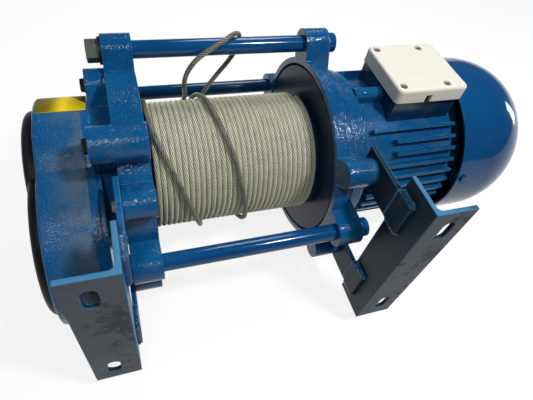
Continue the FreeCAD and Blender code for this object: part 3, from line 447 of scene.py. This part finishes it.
# free end: wrapped over the winding, then a bight over the top rod; places about the drum axis in metres
freeEnd = {"reach": 0.08344, "step": 30.0, "firstAngle": 70.0, "length": 1.344, "resolution": 16,
           "wrapX": (-0.100, -0.0995, -0.086, -0.069, -0.055, -0.045, -0.040, -0.0375, -0.037, -0.037,
                     -0.0365, -0.0335, -0.0265, -0.0213, -0.010, -0.0015, 0.007, 0.011, 0.009, 0.002,
                     -0.008, -0.018, -0.026),
           "bight": ((-0.016, 0.0825, 0.043), (-0.002, 0.0802, 0.070), (0.014, 0.0765, 0.097),
                     (0.0235, 0.074, 0.1195), (0.023, 0.0737, 0.1366), (0.011, 0.060, 0.145),
                     (-0.009, 0.0473, 0.140), (-0.025, 0.0445, 0.132), (-0.038, 0.043, 0.1215),
                     (-0.0468, 0.0423, 0.107), (-0.0498, 0.0435, 0.0915), (-0.0478, 0.049, 0.0765),
                     (-0.0452, 0.0585, 0.062), (-0.044, 0.0705, 0.0465), (-0.044, 0.081, 0.0255),
                     (-0.045, 0.085, 0.0), (-0.0455, 0.0865, -0.020))}


def freeEndRoute():
    corner = freeEnd["reach"] / math.cos(math.radians(freeEnd["step"] / 2))
    route = []
    for k, x in enumerate(freeEnd["wrapX"]):
        route.append(aboutDrum(x, corner, freeEnd["firstAngle"] + freeEnd["step"] * k))
    return route + [Vector((x, axisY + y, z)) for x, y, z in freeEnd["bight"]]


def smoothLine(route):
    curve = curveThrough("free_end_line", "NURBS", [route])
    spline = curve.splines[0]
    spline.order_u = 3
    spline.use_endpoint_u = True
    spline.resolution_u = freeEnd["resolution"]
    return [vertex.co.copy() for vertex in curveMesh(curve).vertices]


def layFreeEnd():
    path = smoothLine(freeEndRoute())
    mesh = strandMesh("rope_free_end", path)
    rope = settle("rope_free_end", mesh, "darkerRope", "frame", ["rope_tail"])


layFreeEnd()
print("free rope end laid")

# hexagon heads and nuts with turned corners, and their washers
hardware = {"corner": 0.0011, "segments": 3, "discSides": 48, "rimSegments": 2}


def hexHead(bm, acrossFlats, low, high, y, z, pointOut):
    made = bmesh.ops.create_circle(bm, cap_ends=True, segments=6, radius=acrossFlats / math.sqrt(3))
    face = made["verts"][0].link_faces[0]
    top = newVerts(bmesh.ops.extrude_face_region(bm, geom=[face]))
    bmesh.ops.translate(bm, verts=top, vec=(0, 0, high - low))
    place = Matrix.Translation((low, axisY + y, z)) @ alongX
    bmesh.ops.transform(bm, matrix=place, verts=made["verts"] + top)
    rim = edgesAmong(top if pointOut > 0 else made["verts"])
    bmesh.ops.bevel(bm, geom=rim, offset=hardware["corner"], affect="EDGES",
                    segments=hardware["segments"], profile=0.5, material=-1)


def discAlongX(bm, radius, low, high, y, z, bevel):
    made = bmesh.ops.create_cone(bm, cap_ends=True, segments=hardware["discSides"], radius1=radius,
                                 radius2=radius, depth=high - low)
    place = Matrix.Translation(((low + high) / 2, axisY + y, z)) @ alongX
    bmesh.ops.transform(bm, matrix=place, verts=made["verts"])
    rims = [edge for edge in edgesAmong(made["verts"])
            if max(len(face.verts) for face in edge.link_faces) > 4]  # edges of the two round ends
    bmesh.ops.bevel(bm, geom=rims, offset=bevel, affect="EDGES", segments=hardware["rimSegments"],
                    profile=0.5, material=-1)


rodNut = {"flats": 0.022, "low": -0.154, "high": -0.141, "circle": 0.142,
          "angles": (65.0, 0.0, 180.0, -65.0)}
gearboxBolt = {"flats": 0.013, "low": -0.1655, "high": -0.160, "washer": 0.0085, "washerThick": 0.0014,
               "washerBevel": 0.0003,
               "places": ((122.0, 0.142), (66.0, 0.106), (-20.0, 0.125), (-96.0, 0.125))}
strapBolt = {"flats": 0.010, "seat": 0.1435, "head": 0.0040, "y": -0.115, "z": 0.076, "washer": 0.0062,
             "washerThick": 0.0010, "washerBevel": 0.0004}


def makeRodNuts():
    bm = bmesh.new()
    for degrees in rodNut["angles"]:
        hexHead(bm, rodNut["flats"], rodNut["low"], rodNut["high"], *polar(rodNut["circle"], degrees), -1)
    piece("tie_rod_nuts", bm, "olive", replaced=["rod_nuts"], smooth=False)


def makeGearboxBolts():
    bm = bmesh.new()
    seat = gearboxBolt["high"]
    under = seat - gearboxBolt["washerThick"]
    for degrees, circle in gearboxBolt["places"]:
        y, z = polar(circle, degrees)
        discAlongX(bm, gearboxBolt["washer"], under, seat, y, z, gearboxBolt["washerBevel"])
        hexHead(bm, gearboxBolt["flats"], gearboxBolt["low"], under, y, z, -1)
    piece("gearbox_hex_bolts", bm, "black", replaced=["gearbox_bolts"], smooth=False)


def makeStrapBolts():
    bm = bmesh.new()
    seat = strapBolt["seat"]
    under = seat + strapBolt["washerThick"]
    for side in (1, -1):
        washerEnds = sorted((side * seat, side * under))
        headEnds = sorted((side * under, side * (seat + strapBolt["head"])))
        for z in (strapBolt["z"], -strapBolt["z"]):
            discAlongX(bm, strapBolt["washer"], *washerEnds, strapBolt["y"], z, strapBolt["washerBevel"])
            hexHead(bm, strapBolt["flats"], *headEnds, strapBolt["y"], z, side)
    piece("strap_hex_bolts", bm, "zinc", replaced=["strap_bolts"], smooth=False)


makeRodNuts()
makeGearboxBolts()
makeStrapBolts()
print("hardware made")

# weld beads between each strap and its angle iron
weld = {"faceX": 0.1435, "lowY": 0.023, "highY": 0.051, "strapZ": 0.076, "halfStrap": 0.022,
        "radius": 0.0042, "inset": 0.0012, "steps": 26, "sides": 12, "lump": 0.22, "rippleRate": 2.1,
        "endShare": 0.3, "taper": 6, "seed": 41}


def weldBead(bm, x, z, draw):
    steps = weld["steps"]
    rise = (weld["highY"] - weld["lowY"]) / steps
    share = weld["endShare"]
    ring = bmesh.ops.create_circle(bm, cap_ends=True, segments=weld["sides"],
                                   radius=weld["radius"] * share)["verts"]
    alongY = Matrix.Rotation(math.radians(-90), 4, "X")
    bmesh.ops.transform(bm, matrix=Matrix.Translation((x, weld["lowY"], z)) @ alongY, verts=ring)
    for k in range(1, steps + 1):
        ring = newVerts(bmesh.ops.extrude_edge_only(bm, edges=edgesAmong(ring)))
        bmesh.ops.translate(bm, verts=ring, vec=(0, rise, 0))
        along = k / steps
        wave = math.sin(along * steps * weld["rippleRate"]) * 0.5 + draw.uniform(-0.5, 0.5)
        taper = min(1.0, weld["endShare"] + weld["taper"] * min(along, 1 - along))
        wanted = (1.0 + weld["lump"] * wave) * taper
        centre = Vector((x, weld["lowY"] + rise * k, z))
        bmesh.ops.scale(bm, vec=(wanted / share, 1.0, wanted / share), verts=ring,
                        space=Matrix.Translation(-centre))
        share = wanted
    bmesh.ops.contextual_create(bm, geom=ring)


def makeWelds():
    for name, side in (("left", -1), ("right", 1)):
        draw = random.Random(weld["seed"] + side)
        bm = bmesh.new()
        for strap in (1, -1):
            for edge in (1, -1):
                z = strap * weld["strapZ"] + edge * (weld["halfStrap"] + weld["inset"])
                weldBead(bm, side * (weld["faceX"] - weld["inset"]), z, draw)
        piece(f"{name}_weld_beads", bm, "bead", replaced=[f"{name}_foot_welds"])


makeWelds()
print("welds made")

# blank label on the crest of the gearbox
label = {"left": -0.2135, "right": -0.1625, "radius": 0.0912, "from": 50.0, "to": 84.0, "steps": 24,
         "thick": 0.0003}


def makeLabel():
    bm = bmesh.new()
    sides = (label["left"], label["right"])
    ends = [bm.verts.new(aboutDrum(x, label["radius"], label["from"])) for x in sides]
    strip = bm.edges.new(ends)
    bmesh.ops.spin(bm, geom=[*ends, strip], cent=(0, axisY, 0), axis=(1, 0, 0), dvec=(0, 0, 0),
                   angle=math.radians(label["to"] - label["from"]), steps=label["steps"], use_merge=False)
    bmesh.ops.recalc_face_normals(bm, faces=bm.faces)
    bmesh.ops.solidify(bm, geom=bm.faces[:], thickness=label["thick"])
    piece("blank_label", bm, "yellow")


makeLabel()
print("label made")

# floor, light and camera
stage = {"floorZ": -0.1472, "half": 30.0, "white": 0.84, "keep": 0.22, "bounce": 0.10, "roughness": 0.9,
         "sky": 0.10}


def makeFloor():
    bm = bmesh.new()
    bmesh.ops.create_grid(bm, x_segments=2, y_segments=2, size=stage["half"])
    bmesh.ops.translate(bm, verts=bm.verts, vec=(0, 0, stage["floorZ"]))
    mesh = bpy.data.meshes.new("floor")
    bm.to_mesh(mesh)
    bm.free()
    finish = Finish("pale_floor")
    tree = finish.tree
    finish.put(BaseColor=(stage["bounce"],) * 3, Roughness=stage["roughness"])
    rays = tree.nodes.new("ShaderNodeLightPath")
    seen = Wire(finish, rays.outputs["Is Camera Ray"])
    for name in ("Is Glossy Ray", "Is Transmission Ray"):
        seen = seen.largest(Wire(finish, rays.outputs[name]))
    glow = finish.add("ShaderNodeEmission", {}, {"Strength": stage["white"]})
    shade = finish.add("ShaderNodeBsdfDiffuse", {}, {"Color": (stage["keep"],) * 3})
    both = finish.add("ShaderNodeAddShader", {}, {0: glow, 1: shade})
    plain = Wire(finish, finish.shader.outputs[0])
    mixed = finish.add("ShaderNodeMixShader", {}, {0: seen, 1: plain, 2: both})
    tree.links.new(mixed.socket, tree.nodes["Material Output"].inputs["Surface"])
    floor = bpy.data.objects.new("floor", mesh)
    mesh.materials.append(finish.material)
    bpy.context.scene.collection.objects.link(floor)


lamps = {"key": {"place": (0.46, -0.33, 1.20), "aim": (0.0, 0.2, 0.0), "power": 10.5, "size": (0.14, 0.14)},
         "fill": {"place": (-0.35, -0.55, 1.3), "aim": (-0.1, 0.2, 0.0), "power": 4.5, "size": (0.22, 0.22)},
         "crest": {"place": (0.35, 1.0, 1.1), "aim": (-0.1, 0.2, 0.05), "power": 5.5, "size": (0.4, 0.4)},
         "window": {"place": (1.57, 0.29, 0.18), "aim": (0.38, 0.16, 0.09), "power": 2.6,
                    "size": (0.16, 0.40)}}


def makeLight():
    for name, lamp in lamps.items():
        data = bpy.data.lights.new(name, "AREA")
        data.energy = lamp["power"]
        data.shape = "RECTANGLE"
        data.size, data.size_y = lamp["size"]
        light = bpy.data.objects.new(name, data)
        light.location = lamp["place"]
        look = Vector(lamp["aim"]) - Vector(lamp["place"])
        light.rotation_euler = look.to_track_quat("-Z", "Y").to_euler()
        bpy.context.scene.collection.objects.link(light)
    world = bpy.data.worlds.new("studio")
    bpy.context.scene.world = world
    world.use_nodes = True
    background = world.node_tree.nodes["Background"].inputs
    background["Color"].default_value = (1.0, 1.0, 1.0, 1.0)
    background["Strength"].default_value = stage["sky"]


view = {"place": (-0.13173, -0.16500, 0.42303), "right": (0.94698, -0.28401, 0.15021),
        "up": (0.13494, 0.77589, 0.61627), "ahead": (0.29157, 0.56332, -0.77308), "sensor": 36.0,
        "lens": 29.065, "shift": (0.01216, -0.01186), "nearest": 0.01}


def makeCamera():
    data = bpy.data.cameras.new("camera")
    data.sensor_width = view["sensor"]
    data.lens = view["lens"]
    data.shift_x, data.shift_y = view["shift"]
    data.clip_start = view["nearest"]
    camera = bpy.data.objects.new("camera", data)
    columns = [Vector(view["right"]), Vector(view["up"]), -Vector(view["ahead"])]
    turn = Matrix(columns).transposed().to_4x4()
    camera.matrix_world = Matrix.Translation(view["place"]) @ turn
    bpy.context.scene.collection.objects.link(camera)
    bpy.context.scene.camera = camera


makeFloor()
makeLight()
makeCamera()
bpy.context.scene.view_settings.view_transform = "Standard"
print("stage set")

bpy.context.view_layer.update()
